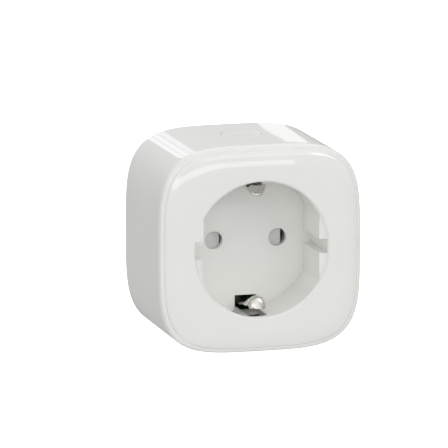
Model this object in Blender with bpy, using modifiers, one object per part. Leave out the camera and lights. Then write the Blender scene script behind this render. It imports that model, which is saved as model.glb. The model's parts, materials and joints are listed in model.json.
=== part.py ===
"""Plug-in power meter with a round recessed earthed socket, as an assembly of separate pieces.

Frame: metres, +Z up. The origin is the centre of the plug boss's end face, between the two pins.
+Y points at the wall the meter plugs into, so the pins reach +Y and the socket looks along -Y.
"""

import math

import bmesh
import bpy
from mathutils import Matrix, Vector

# ---- housing ----
BODY_HALF = 0.030  # half of the square outline at the front seam
REAR_TAPER = 0.00025  # how much narrower the outline is at the back, on each side
BODY_DEPTH = 0.040
OUTLINE_POWER = 4.05  # superellipse power of the rounded square
OUTLINE_POINTS = 96
WALL = 0.0020
REAR_ROUND = 0.0008
FRONT_DEPTH = 0.0029  # how far the front cover's crown stands in front of the seam
SEAM_GAP = 0.0003
SKIRT_DEPTH = 0.0035
SKIRT_WALL = 0.0014
GAP = 0.0003  # between pieces that touch

# ---- socket recess ----
WELL_RADIUS = 0.02005
WELL_DEPTH = 0.0175
WELL_TUBE_WALL = 0.00155
FLOOR_WALL = 0.0018
LIP = 0.0003
FLAT_INSET = 0.00265  # the side flats cut this much off the round recess
LEDGE_DEPTH = 0.0014  # the flats start this far behind the front face
BLOCK_LOW = 0.0034  # one flat reaches the front face above this height
GUIDE_HALF = 0.0021  # half width of the two guide grooves
PIN_PITCH = 0.019
PIN_HOLE_RADIUS = 0.00265
EARTH_SLOT_HALF = 0.0032
EARTH_SLOT_REACH = 0.00365  # how far inside the recess's wall the earth slots start
EARTH_SLOT_FRONT = 0.0040  # material left between the front face and the earth slots

# ---- plug ----
BOSS_RADIUS = 0.0193
BOSS_LENGTH = 0.018
BOSS_FLAT_INSET = 0.0022
BOSS_END_WALL = 0.003
BOSS_EDGE = 0.0006
BOSS_POCKET_RADIUS = 0.0146
BOSS_FLANGE = 0.0009
BOSS_FLANGE_RADIUS = 0.0210
GROOVE_HALF = 0.0027
GROOVE_DEPTH = 0.0037
PLUG_PIN_RADIUS = 0.0024
PLUG_PIN_LENGTH = 0.019
SLEEVE_RADIUS = 0.0038
SLEEVE_END = 0.012
PIN_COLLAR_RADIUS = 0.0032
PIN_COLLAR = 0.0012
PIN_TAIL_RADIUS = 0.0015
PIN_TAIL = 0.0033

# ---- sheet metal ----
STRAP_SHEET = 0.0008
CLIP_SHEET = 0.0006
CONTACT_SHEET = 0.0007
CONTACT_LENGTH = 0.0095
CONTACT_REACH = 0.0024  # how far a contact's leaves pass its pin's centre
CONTACT_CORNER = 0.0006
CONTACT_FLARE = 0.0005
CONTACT_LEAD = 0.0014
CONTACT_TAIL_HALF = 0.0012
EARTH_INSET = 0.0021  # from the boss's side to the plug's earth strips
EARTH_STRIP_HALF = 0.0016
EARTH_BOW = 0.0013  # how far the plug's earth strips bow outwards
CHANNEL_HALF = 0.0032  # half width of the boss's channels for the earth strips
CHANNEL_FLOOR = 0.0010  # boss material left behind those channels
CLIP_INSET = 0.00045  # from the recess's wall to the socket's earth clips at the floor
CLIP_NOSE_INSET = 0.00495
CLIP_NOSE_BACK = 0.0058  # from the front face to the clips' noses
CLIP_FOOT = 0.0060  # length of a clip's foot on the strap
CLIP_BEND = 0.0008
STRAP_HALF = 0.0015
STRAP_LIFT = 0.0027  # from the main board's parts plane to the strap
STRAP_END = 0.0006  # how far the strap stops short of the clips
BAR_HALF = 0.0013
BAR_RISE = 0.0086
BAR_EYE_RADIUS = 0.0029

# ---- shutter and contact carrier ----
SHUTTER_SHEET = 0.0018
SHUTTER_HALF = 0.0045
SHUTTER_TRAVEL = 0.0049
SHUTTER_EDGES = (0.0022, 0.0015)  # each window's start, right of its hole's centre
SHUTTER_END_WALL = 0.0016
SHUTTER_LEFT = 0.0037  # plate left of the left hole's centre
SPRING_SPACE = 0.0114
SPRING_RADIUS = 0.0007
SPRING_WIRE = 0.0002
SPRING_TURNS = 9
CARRIER_BASE = 0.0015
CARRIER_RAIL = 0.0017
CARRIER_LEG_RADIUS = 0.0012
CARRIER_LEG_AT = (0.0175, 0.0048)

# ---- boards ----
BOARD_SHEET = 0.0016
BOARD_INSET = 0.0015  # from the housing's inner side to the board's edge
BOARD_POST_GAP = 0.00034
STAND_RADIUS = 0.0016
STAND_INSET = 0.0021  # from the board's edge to the centre of a stand it rests on
STAND_SIDE = 0.0090
RADIO_SHEET = 0.0008
RADIO_HALF = 0.0090
RADIO_INSET = 0.0007  # from the carrier's end to the radio board
SHIELD_HALF = 0.0052
SHIELD_RISE = 0.0020
SHIELD_SHEET = 0.0003
SHIELD_BACK = 0.0015

# ---- fasteners ----
SCREW_CORNER = 0.0031  # from the housing's inner corner to a screw's centre, along X and Z
SCREW_RADIUS = 0.0013
SCREW_HEAD_RADIUS = 0.0025
SCREW_LENGTH = 0.020
SCREW_SINK = 0.0014  # depth of the recess for a screw's head
POST_RADIUS = 0.0032
CROSS_HALF = 0.00022  # half width of the cross slots in a screw's head

# ---- button and switch ----
BUTTON_RADIUS = 0.0060
BUTTON_SEAM = 0.0002
BUTTON_BACK = 0.022  # from the front face to the button's centre
BUTTON_TRAVEL = 0.0004
BUTTON_FLANGE = 0.0009
BUTTON_FLANGE_OVER = 0.0011
BUTTON_STEM = 0.0006
BUTTON_SINK = 0.0001
SWITCH_SIZE = 0.006
SWITCH_BODY = 0.0016
PLUNGER_RADIUS = 0.0016
PLUNGER_LENGTH = 0.0016
SWITCH_FLOOR = 0.0003
BUTTON_EDGE = 0.0003
BUTTON_STEM_RADIUS = 0.0021
SWITCH_BOARD_SHEET = 0.0010
SWITCH_BOARD_HALF = 0.0090
SWITCH_BOARD_FRONT = 0.0068  # from the button's centre to the switch board's front edge
SWITCH_BOARD_REAR = 0.0115
LAMP_SIZE = 0.0016
LAMP_RISE = 0.0008
LAMP_SIDE = 0.0060

# ---- components on the main board's front: corners (x, z), height, finish and edge ----
BLOCKS = {
    "relay_case": ((0.0035, 0.0070), (0.0235, 0.0168), 0.0110, "relay", 0.0005),
    "film_capacitor": ((-0.0170, 0.0070), (-0.0045, 0.0122), 0.0100, "film_box", 0.0004),
    "metering_chip": ((0.0160, -0.0125), (0.0235, -0.0075), 0.0014, "black_plastic", 0.0002),
    "regulator_chip": ((0.0030, -0.0068), (0.0070, -0.0042), 0.0012, "black_plastic", 0.0002),
}
VARISTOR_RADIUS = 0.0050
VARISTOR_AT = (-0.0105, 0.0130, 0.0165)  # x, lowest z and highest z
VARISTOR_LIFT = 0.0004
CAN_RADIUS = 0.0040
CAN_HEIGHT = 0.0105
CAN_AT = (0.0105, -0.0125)
FUSE_RADIUS = 0.0015
FUSE_AT = (0.0045, 0.0130, -0.0195)  # lowest x, highest x and z
FUSE_LIFT = 0.0003
SHUNT_AT = (0.0150, 0.0240, -0.0032, 0.0004)  # lowest x, highest x, lowest z and highest z
SHUNT_FOOT = 0.0010
SHUNT_SLOPE = 0.0010
SHUNT_RISE = 0.0026
SHUNT_LIFT = 0.0004
SHUNT_SHEET = 0.0006
CORE_LEFT = -0.0205
CORE_RIGHT = -0.0035
CORE_TALL = 0.0098
CORE_SPAN = (0.0035, 0.0085)  # its back and its front, from the parts plane
CORE_LEG = 0.0036
CORE_WINDOW = 0.0042
CORE_WALL = 0.0020
COIL_RISE = 0.0030  # how far the coil stands past the core, in front and behind

# ---- planes worked out from the sizes above ----
REAR_Y = -BOSS_LENGTH
FRONT_Y = REAR_Y - BODY_DEPTH
SEAM_Y = FRONT_Y + FRONT_DEPTH
FLOOR_Y = FRONT_Y + WELL_DEPTH
FLOOR_BACK_Y = FLOOR_Y + FLOOR_WALL
INNER_HALF = BODY_HALF - WALL
INNER_REAR_Y = REAR_Y - WALL
TUBE_RADIUS = WELL_RADIUS + WELL_TUBE_WALL
FLAT_X = WELL_RADIUS - FLAT_INSET
PIN_X = PIN_PITCH / 2
SLIDER_Y = FLOOR_BACK_Y + GAP
SLIDER_BACK_Y = SLIDER_Y + SHUTTER_SHEET
CARRIER_Y = SLIDER_BACK_Y + GAP
CARRIER_BACK_Y = CARRIER_Y + CARRIER_BASE
FLANGE_Y = INNER_REAR_Y - GAP
BOARD_BACK_Y = FLANGE_Y - BOSS_FLANGE - GAP
BOARD_Y = BOARD_BACK_Y - BOARD_SHEET
PART_Y = BOARD_Y - GAP  # what stands on the board's front starts here
SCREW_AT = INNER_HALF * 2 ** (-1 / OUTLINE_POWER) - SCREW_CORNER
BOARD_HALF = INNER_HALF - BOARD_INSET
BOARD_CORNER = 2 * SCREW_AT - math.sqrt(2) * (POST_RADIUS + BOARD_POST_GAP)  # |x| + |z| there
EARTH_HEIGHT = BOSS_RADIUS - EARTH_INSET
CLIP_HEIGHT = WELL_RADIUS - CLIP_INSET
CLIP_NOSE_HEIGHT = WELL_RADIUS - CLIP_NOSE_INSET
CONTACT_Y = CARRIER_BACK_Y + GAP
CONTACT_END_Y = CONTACT_Y + CONTACT_LENGTH
STRAP_BACK_Y = PART_Y - STRAP_LIFT
STRAP_Y = STRAP_BACK_Y - STRAP_SHEET
CLIP_FOOT_Y = STRAP_Y - GAP - CLIP_SHEET / 2
BUTTON_Y = FRONT_Y + BUTTON_BACK
BUTTON_TOP_Z = BODY_HALF - BUTTON_SINK
FLANGE_TOP_Z = INNER_HALF - GAP
FLANGE_LOW_Z = FLANGE_TOP_Z - BUTTON_FLANGE
STEM_Z = FLANGE_LOW_Z - BUTTON_STEM
PLUNGER_TOP_Z = STEM_Z - GAP
PLUNGER_LOW_Z = PLUNGER_TOP_Z - PLUNGER_LENGTH
SWITCH_LOW_Z = PLUNGER_LOW_Z - BUTTON_TRAVEL - GAP - SWITCH_FLOOR
SWITCH_TOP_Z = SWITCH_LOW_Z + SWITCH_BODY
SWITCH_BOARD_Z = SWITCH_LOW_Z - GAP
COLLAR_TOP_Y = -SLEEVE_END - GAP
COLLAR_LOW_Y = COLLAR_TOP_Y - PIN_COLLAR
SPRING_WALL_X = -PIN_X - SHUTTER_LEFT - SPRING_SPACE
SLIDER_END_X = PIN_X + SHUTTER_TRAVEL + PIN_HOLE_RADIUS + GAP + SHUTTER_END_WALL
CARRIER_LEFT_X = SPRING_WALL_X - CARRIER_RAIL
CORE_LOW_Z = POST_RADIUS + GAP - SCREW_AT  # just clear of the lower posts

# Inset from the outline and forward reach from the seam, along the front cover's rounded edge.
COVER_EDGE = (
    (0.00015, 0.0),
    (0.0, 0.00015),
    (0.00025, 0.0009),
    (0.0008, 0.0015),
    (0.0013, 0.00185),
    (0.0022, 0.0022),
    (0.0035, 0.00255),
    (0.0052, 0.0028),
    (0.0067, 0.0029),
)

FINISHES = {
    "shell": ((0.80, 0.80, 0.78), 0.12, 0.0),
    "inner_plastic": ((0.62, 0.62, 0.60), 0.45, 0.0),
    "shutter": ((0.55, 0.56, 0.56), 0.40, 0.0),
    "brass": ((0.72, 0.53, 0.25), 0.30, 1.0),
    "nickel": ((0.66, 0.65, 0.62), 0.22, 1.0),
    "steel": ((0.56, 0.56, 0.55), 0.30, 1.0),
    "board": ((0.03, 0.16, 0.07), 0.45, 0.0),
    "black_plastic": ((0.02, 0.02, 0.022), 0.40, 0.0),
    "relay": ((0.75, 0.42, 0.06), 0.40, 0.0),
    "film_box": ((0.60, 0.52, 0.10), 0.45, 0.0),
    "varistor": ((0.05, 0.12, 0.35), 0.50, 0.0),
    "resistor": ((0.10, 0.30, 0.16), 0.50, 0.0),
    "can": ((0.50, 0.51, 0.53), 0.28, 1.0),
    "ferrite": ((0.06, 0.06, 0.06), 0.65, 0.0),
    "tape": ((0.70, 0.55, 0.05), 0.50, 0.0),
    "lamp": ((0.70, 0.85, 0.72), 0.25, 0.0),
}


def clear_scene():
    for obj in list(bpy.data.objects):
        bpy.data.objects.remove(obj, do_unlink=True)


def new_collection(name):
    made = bpy.data.collections.new(name)
    bpy.context.scene.collection.children.link(made)
    return made


def own_material(name, finish):
    colour, roughness, metallic = FINISHES[finish]
    made = bpy.data.materials.new(name + "_" + finish)
    made.use_nodes = True
    shader = made.node_tree.nodes["Principled BSDF"]
    shader.inputs["Base Color"].default_value = (*colour, 1.0)
    shader.inputs["Roughness"].default_value = roughness
    shader.inputs["Metallic"].default_value = metallic
    return made


def part(name, mesh, finish, origin=(0.0, 0.0, 0.0)):
    """A visible piece. Its mesh is given in the row frame, and its origin is moved to a chosen point."""
    obj = bpy.data.objects.new(name, mesh)
    mesh.transform(Matrix.Translation(-Vector(origin)))
    obj.location = origin
    mesh.materials.append(own_material(name, finish))
    PARTS.objects.link(obj)
    return obj


def helper(name, mesh):
    """A cutter, or a shape joined into a part by a Boolean."""
    obj = bpy.data.objects.new(name, mesh)
    obj.hide_render = True
    obj.display_type = "WIRE"
    CUTTERS.objects.link(obj)
    return obj


def combine(target, tool, operation):
    modifier = target.modifiers.new(operation.lower() + "_" + tool.name, "BOOLEAN")
    modifier.operation = operation
    modifier.solver = "EXACT"
    modifier.object = tool
    return target


def cut(target, name, mesh):
    return combine(target, helper(name, mesh), "DIFFERENCE")


def join(target, name, mesh):
    return combine(target, helper(name, mesh), "UNION")


def bevel(obj, width, segments=1, angle=50.0):
    modifier = obj.modifiers.new("edges", "BEVEL")
    modifier.width = width
    modifier.segments = segments
    modifier.limit_method = "ANGLE"
    modifier.angle_limit = math.radians(angle)
    return obj


def smooth(obj, angle=35.0):
    obj.data.shade_smooth()
    obj.data.set_sharp_from_angle(angle=math.radians(angle))
    return obj


def finished_mesh(name, bm):
    bmesh.ops.recalc_face_normals(bm, faces=bm.faces)
    mesh = bpy.data.meshes.new(name)
    bm.to_mesh(mesh)
    bm.free()
    return mesh


def box(low, high, name="box"):
    """A box between its lowest and highest corners, given in either order."""
    first = Vector(low)
    second = Vector(high)
    size = second - first
    scale = Matrix.Diagonal((abs(size.x), abs(size.y), abs(size.z), 1.0))
    bm = bmesh.new()
    bmesh.ops.create_cube(bm, size=1.0, matrix=Matrix.Translation((first + second) / 2) @ scale)
    return finished_mesh(name, bm)


def drum(radius, centre, start, end, axis="Y", segments=32, end_radius=None):
    """A cylinder or cone along a row axis, centred on the two other coordinates."""
    turn = {
        "X": Matrix.Rotation(math.pi / 2, 4, "Y"),
        "Y": Matrix.Rotation(-math.pi / 2, 4, "X"),
        "Z": Matrix(),
    }
    middle = (start + end) / 2
    place = {
        "X": (middle, centre[0], centre[1]),
        "Y": (centre[0], middle, centre[1]),
        "Z": (centre[0], centre[1], middle),
    }
    bm = bmesh.new()
    bmesh.ops.create_cone(
        bm,
        cap_ends=True,
        segments=segments,
        radius1=radius,
        radius2=radius if end_radius is None else end_radius,
        depth=end - start,
        matrix=Matrix.Translation(place[axis]) @ turn[axis],
    )
    return finished_mesh("drum", bm)


def loft(rings):
    """A closed skin over rings of equally many points, with the first and the last ring filled."""
    bm = bmesh.new()
    rows = [[bm.verts.new(point) for point in ring] for ring in rings]
    count = len(rows[0])
    for lower, upper in zip(rows, rows[1:]):
        for i in range(count):
            j = (i + 1) % count
            bm.faces.new((lower[i], lower[j], upper[j], upper[i]))
    bm.faces.new(rows[0])
    bm.faces.new(rows[-1])
    return finished_mesh("loft", bm)


def ribbon(rows):
    """An open sheet over rows of points, for a Solidify modifier to thicken."""
    bm = bmesh.new()
    grid = [[bm.verts.new(point) for point in row] for row in rows]
    for near, far in zip(grid, grid[1:]):
        for i in range(len(near) - 1):
            bm.faces.new((near[i], near[i + 1], far[i + 1], far[i]))
    return finished_mesh("ribbon", bm)


def sheet_part(name, rows, thickness, finish, origin=(0.0, 0.0, 0.0)):
    obj = part(name, ribbon(rows), finish, origin)
    modifier = obj.modifiers.new("sheet", "SOLIDIFY")
    modifier.thickness = thickness
    modifier.offset = 0.0
    modifier.use_even_offset = True
    return obj


def turned(name, profile, finish, origin, segments=28, axis="Y"):
    """A turned piece. The profile lists (radius, height) from the top of its axis to the bottom."""
    mesh = bpy.data.meshes.new(name)
    points = [(radius, 0.0, height) for radius, height in profile]
    edges = [(i, i + 1) for i in range(len(points) - 1)]
    mesh.from_pydata(points, edges, [])
    obj = part(name, mesh, finish)
    obj.location = origin
    if axis == "Y":
        obj.rotation_euler.x = -math.pi / 2
    modifier = obj.modifiers.new("turn", "SCREW")
    modifier.axis = "Z"
    modifier.steps = segments
    modifier.render_steps = segments
    modifier.use_merge_vertices = True
    modifier.merge_threshold = 0.00001
    return obj


def arc(radius, start, end, count):
    """Points (x, z) on a circle about the socket's axis, with angles in radians from +X towards +Z."""
    steps = [start + (end - start) * i / (count - 1) for i in range(count)]
    return [(radius * math.cos(a), radius * math.sin(a)) for a in steps]


def at_y(outline, y):
    return [(x, y, z) for x, z in outline]


def rounded_square(half, y):
    """The housing's outline: a superellipse, with points at equal angles."""
    ring = []
    for i in range(OUTLINE_POINTS):
        angle = 2 * math.pi * i / OUTLINE_POINTS
        c = math.cos(angle)
        s = math.sin(angle)
        reach = half * (abs(c) ** OUTLINE_POWER + abs(s) ** OUTLINE_POWER) ** (-1 / OUTLINE_POWER)
        ring.append((reach * c, y, reach * s))
    return ring


def mouth_outline(radius, flat, block_low):
    """The recess at the front face: round, but for one flat on the left above block_low."""
    chord_angle = math.pi - math.acos(flat / radius)
    block_angle = math.pi - math.asin(block_low / radius)
    round_part = arc(radius, block_angle, 2 * math.pi + chord_angle, 84)
    return round_part + [(-flat, block_low)]


def well_outline(radius, flat, groove):
    """The recess behind its ledge: round, with a flat on each side and a guide groove in each flat."""
    chord = math.acos(flat / radius)
    notch = math.asin(groove / radius)
    right = arc(radius, -notch, notch, 5)
    top = arc(radius, chord, math.pi - chord, 36)
    left = arc(radius, math.pi - notch, math.pi + notch, 5)
    bottom = arc(radius, math.pi + chord, 2 * math.pi - chord, 36)
    corner = [(flat, groove)]
    far_corner = [(-flat, groove)]
    low_corner = [(-flat, -groove)]
    last_corner = [(flat, -groove)]
    return right + corner + top + far_corner + left + low_corner + bottom + last_corner


def corners(across, up):
    """The four points (x, z) at these distances from the socket's axis."""
    return [(x * across, z * up) for x in (-1, 1) for z in (-1, 1)]


# ---- housing ----
def front_cover():
    rings = [
        rounded_square(INNER_HALF - GAP - SKIRT_WALL, FRONT_Y + WALL),
        rounded_square(INNER_HALF - GAP - SKIRT_WALL, SEAM_Y + SKIRT_DEPTH),
        rounded_square(INNER_HALF - GAP, SEAM_Y + SKIRT_DEPTH),
        rounded_square(INNER_HALF - GAP, SEAM_Y),
    ]
    rings += [rounded_square(BODY_HALF - inset, SEAM_Y - forward) for inset, forward in COVER_EDGE]
    cover = part("front_cover", loft(rings), "shell")
    bury = WALL / 4
    join(cover, "well_tube", drum(TUBE_RADIUS, (0, 0), FRONT_Y + WALL - bury, FLOOR_BACK_Y, segments=72))
    for i, (x, z) in enumerate(corners(SCREW_AT, SCREW_AT)):
        post = drum(POST_RADIUS, (x, z), FRONT_Y + WALL - bury, INNER_REAR_Y - GAP, segments=20)
        join(cover, f"post_{i}", post)
    mouth = [
        at_y(mouth_outline(WELL_RADIUS + LIP, FLAT_X + LIP, BLOCK_LOW - LIP), FRONT_Y - WALL),
        at_y(mouth_outline(WELL_RADIUS + LIP, FLAT_X + LIP, BLOCK_LOW - LIP), FRONT_Y - LIP / 10),
        at_y(mouth_outline(WELL_RADIUS, FLAT_X, BLOCK_LOW), FRONT_Y + LIP),
        at_y(mouth_outline(WELL_RADIUS, FLAT_X, BLOCK_LOW), FRONT_Y + LEDGE_DEPTH),
    ]
    cut(cover, "mouth", loft(mouth))
    deep = well_outline(WELL_RADIUS - LIP / 2, FLAT_X, GUIDE_HALF)
    cut(cover, "well", loft([at_y(deep, FRONT_Y + LEDGE_DEPTH / 2), at_y(deep, FLOOR_Y)]))
    for side in (-1, 1):
        slot = box(
            (-EARTH_SLOT_HALF, FRONT_Y + EARTH_SLOT_FRONT, side * (WELL_RADIUS - EARTH_SLOT_REACH)),
            (EARTH_SLOT_HALF, FLOOR_BACK_Y + GAP, side * (TUBE_RADIUS + GAP)),
        )
        cut(cover, f"earth_slot_{side}", slot)
        hole = drum(PIN_HOLE_RADIUS, (side * PIN_X, 0), FLOOR_Y - GAP, FLOOR_BACK_Y + GAP, segments=28)
        cut(cover, f"pin_hole_{side}", hole)
    thread_end = REAR_Y - SCREW_SINK - SCREW_LENGTH - 2 * GAP
    for i, (x, z) in enumerate(corners(SCREW_AT, SCREW_AT)):
        bore = drum(SCREW_RADIUS + GAP, (x, z), thread_end, INNER_REAR_Y, segments=16)
        cut(cover, f"post_bore_{i}", bore)
    return smooth(cover)


def body_shell():
    back = BODY_HALF - REAR_TAPER
    rings = [
        rounded_square(INNER_HALF, INNER_REAR_Y),
        rounded_square(INNER_HALF, SEAM_Y + SEAM_GAP),
        rounded_square(BODY_HALF - SEAM_GAP, SEAM_Y + SEAM_GAP),
        rounded_square(BODY_HALF, SEAM_Y + 2 * SEAM_GAP),
        rounded_square(back, REAR_Y - REAR_ROUND),
        rounded_square(back - REAR_ROUND * 0.3, REAR_Y - REAR_ROUND * 0.3),
        rounded_square(back - REAR_ROUND, REAR_Y),
    ]
    shell = part("body_shell", loft(rings), "shell")
    for i, (x, z) in enumerate(corners(BOARD_HALF - STAND_INSET, STAND_SIDE)):
        stand = drum(STAND_RADIUS, (x, z), BOARD_BACK_Y + GAP, INNER_REAR_Y + WALL / 4, segments=14)
        join(shell, f"stand_{i}", stand)
    opening = drum(BOSS_RADIUS + GAP, (0, 0), INNER_REAR_Y - GAP, REAR_Y + GAP, segments=64)
    cut(shell, "boss_opening", opening)
    hole = drum(BUTTON_RADIUS, (0, BUTTON_Y), INNER_HALF - GAP, BODY_HALF + GAP, "Z", 48)
    cut(shell, "button_hole", hole)
    for i, (x, z) in enumerate(corners(SCREW_AT, SCREW_AT)):
        through = drum(SCREW_RADIUS + GAP, (x, z), INNER_REAR_Y - GAP, REAR_Y + GAP, segments=16)
        cut(shell, f"screw_hole_{i}", through)
        sink = drum(SCREW_HEAD_RADIUS + GAP, (x, z), REAR_Y - SCREW_SINK, REAR_Y + GAP, segments=20)
        cut(shell, f"screw_sink_{i}", sink)
    return smooth(shell)


def case_screws():
    head = SCREW_SINK - 2 * GAP
    for i, (x, z) in enumerate(corners(SCREW_AT, SCREW_AT)):
        seat = REAR_Y - SCREW_SINK + GAP
        profile = [
            (0.0, head),
            (SCREW_HEAD_RADIUS * 0.7, head),
            (SCREW_HEAD_RADIUS, head * 0.5),
            (SCREW_HEAD_RADIUS, 0.0),
            (SCREW_RADIUS, 0.0),
            (SCREW_RADIUS, -SCREW_LENGTH + SCREW_RADIUS),
            (SCREW_RADIUS * 0.4, -SCREW_LENGTH),
            (0.0, -SCREW_LENGTH),
        ]
        screw = turned(f"case_screw_{i + 1}", profile, "steel", (x, seat, z), segments=16)
        bottom = seat + head * 0.45
        top = seat + head + GAP
        arm = SCREW_HEAD_RADIUS * 0.55
        for slot, (across, up) in (("a", (arm, CROSS_HALF)), ("b", (CROSS_HALF, arm))):
            cross = box((x - across, bottom, z - up), (x + across, top, z + up))
            cut(screw, f"cross_{slot}_{i}", cross)
        smooth(screw)


# ---- plug side ----
def plug_boss():
    bottom_y = FLANGE_Y - BOSS_FLANGE
    barrel = drum(BOSS_RADIUS, (0, 0), FLANGE_Y - BOSS_FLANGE / 2, 0.0, segments=64)
    boss = part("plug_boss", barrel, "inner_plastic")
    bevel(boss, BOSS_EDGE, 2, 60)
    flange = drum(BOSS_FLANGE_RADIUS, (0, 0), bottom_y, FLANGE_Y, segments=64)
    join(boss, "boss_flange", flange)
    pocket = drum(BOSS_POCKET_RADIUS, (0, 0), bottom_y - GAP, -BOSS_END_WALL, segments=48)
    cut(boss, "boss_pocket", pocket)
    for side in (-1, 1):
        sleeve = drum(SLEEVE_RADIUS, (side * PIN_X, 0), -SLEEVE_END, -BOSS_END_WALL / 2, segments=28)
        join(boss, f"pin_sleeve_{side}", sleeve)
        flat_x = BOSS_RADIUS - BOSS_FLAT_INSET
        flat = box(
            (side * flat_x, REAR_Y + GAP, -BOSS_RADIUS),
            (side * (BOSS_RADIUS + GAP), GAP, BOSS_RADIUS),
        )
        cut(boss, f"boss_flat_{side}", flat)
        groove_x = BOSS_RADIUS - GROOVE_DEPTH
        groove = box(
            (side * groove_x, REAR_Y + GAP, -GROOVE_HALF),
            (side * BOSS_RADIUS, 2 * GAP, GROOVE_HALF),
        )
        cut(boss, f"guide_groove_{side}", groove)
        strip_low = EARTH_HEIGHT - STRAP_SHEET / 2 - GAP
        channel = box(
            (-CHANNEL_HALF, REAR_Y + CHANNEL_FLOOR, side * strip_low),
            (CHANNEL_HALF, 2 * GAP, side * (BOSS_RADIUS + GAP)),
        )
        cut(boss, f"earth_channel_{side}", channel)
        wide = EARTH_STRIP_HALF + 2 * GAP
        passage = box(
            (-wide, bottom_y - GAP, side * strip_low),
            (wide, REAR_Y + 2 * CHANNEL_FLOOR, side * (EARTH_HEIGHT + STRAP_SHEET / 2 + 2 * GAP)),
        )
        cut(boss, f"earth_passage_{side}", passage)
        bore = drum(PLUG_PIN_RADIUS + GAP, (side * PIN_X, 0), COLLAR_TOP_Y, GAP, segments=28)
        cut(boss, f"pin_bore_{side}", bore)
    return smooth(boss)


def plug_pins():
    tip = PLUG_PIN_LENGTH
    profile = [
        (0.0, tip),
        (PLUG_PIN_RADIUS * 0.5, tip - PLUG_PIN_RADIUS * 0.06),
        (PLUG_PIN_RADIUS * 0.85, tip - PLUG_PIN_RADIUS * 0.3),
        (PLUG_PIN_RADIUS, tip - PLUG_PIN_RADIUS * 0.75),
        (PLUG_PIN_RADIUS, COLLAR_TOP_Y),
        (PIN_COLLAR_RADIUS, COLLAR_TOP_Y),
        (PIN_COLLAR_RADIUS, COLLAR_LOW_Y),
        (PIN_TAIL_RADIUS, COLLAR_LOW_Y),
        (PIN_TAIL_RADIUS, COLLAR_LOW_Y - PIN_TAIL),
        (0.0, COLLAR_LOW_Y - PIN_TAIL),
    ]
    for name, x in (("plug_pin_neutral", -PIN_X), ("plug_pin_line", PIN_X)):
        smooth(turned(name, profile, "nickel", (x, 0.0, 0.0)))


def pin_bars():
    """A brass bar from each plug pin's tail up and forward through the main board."""
    middle = COLLAR_LOW_Y - GAP - STRAP_SHEET / 2
    path = [(middle, 0.0), (middle, BAR_RISE), (BOARD_Y + GAP, BAR_RISE)]
    for name, x in (("neutral_bar", -PIN_X), ("line_bar", PIN_X)):
        rows = [[(x - BAR_HALF, y, z), (x + BAR_HALF, y, z)] for y, z in path]
        bar = sheet_part(name, rows, STRAP_SHEET, "brass")
        faces = (middle - STRAP_SHEET / 2, middle + STRAP_SHEET / 2)
        join(bar, name + "_eye", drum(BAR_EYE_RADIUS, (x, 0.0), *faces, segments=24))
        faces = (middle - STRAP_SHEET, middle + STRAP_SHEET)
        hole = drum(PIN_TAIL_RADIUS + GAP, (x, 0.0), *faces, segments=20)
        cut(bar, name + "_hole", hole)


def rear_earth_strips():
    """The plug's two earth contacts, bowed outwards where they touch a wall socket's clips."""
    path = [
        (-BOSS_LENGTH / 9, 0.0),
        (-BOSS_LENGTH / 4, EARTH_BOW * 0.3),
        (-BOSS_LENGTH / 2, EARTH_BOW),
        (-BOSS_LENGTH * 3 / 4, EARTH_BOW * 0.3),
        (-BOSS_LENGTH * 8 / 9, 0.0),
        (STRAP_BACK_Y + GAP, 0.0),
    ]
    for name, side in (("rear_earth_top", 1), ("rear_earth_bottom", -1)):
        heights = [(y, side * (EARTH_HEIGHT + out)) for y, out in path]
        rows = [[(-EARTH_STRIP_HALF, y, z), (EARTH_STRIP_HALF, y, z)] for y, z in heights]
        sheet_part(name, rows, STRAP_SHEET, "nickel")


# ---- socket side ----
def shutter():
    left = -PIN_X - SHUTTER_LEFT
    starts = (-PIN_X + SHUTTER_EDGES[0], PIN_X + SHUTTER_EDGES[1])
    hole_half = PIN_HOLE_RADIUS + GAP
    ends = [side * PIN_X + SHUTTER_TRAVEL + hole_half for side in (-1, 1)]
    origin = ((left + SLIDER_END_X) / 2, (SLIDER_Y + SLIDER_BACK_Y) / 2, 0.0)
    body = box((left, SLIDER_Y, -SHUTTER_HALF), (SLIDER_END_X, SLIDER_BACK_Y, SHUTTER_HALF))
    slider = part("shutter_slider", body, "shutter", origin)
    for i, (start, end) in enumerate(zip(starts, ends)):
        window = box((start, SLIDER_Y - GAP, -hole_half), (end, SLIDER_BACK_Y + GAP, hole_half))
        cut(slider, f"window_{i}", window)


def shutter_return_spring():
    turns = 12 * SPRING_TURNS
    length = SPRING_SPACE - 2 * GAP - 2 * SPRING_WIRE
    curve = bpy.data.curves.new("shutter_spring", "CURVE")
    curve.dimensions = "3D"
    curve.bevel_depth = SPRING_WIRE
    curve.bevel_resolution = 1
    curve.use_fill_caps = True
    coil = curve.splines.new("POLY")
    coil.points.add(turns)
    for i, point in enumerate(coil.points):
        angle = 2 * math.pi * i / 12
        x = SPRING_WALL_X + GAP + SPRING_WIRE + length * i / turns
        point.co = (x, SPRING_RADIUS * math.cos(angle), SPRING_RADIUS * math.sin(angle), 1.0)
    spring = bpy.data.objects.new("shutter_spring", curve)
    spring.location = (0.0, (SLIDER_Y + SLIDER_BACK_Y) / 2, 0.0)
    curve.materials.append(own_material("shutter_spring", "steel"))
    PARTS.objects.link(spring)


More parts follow.
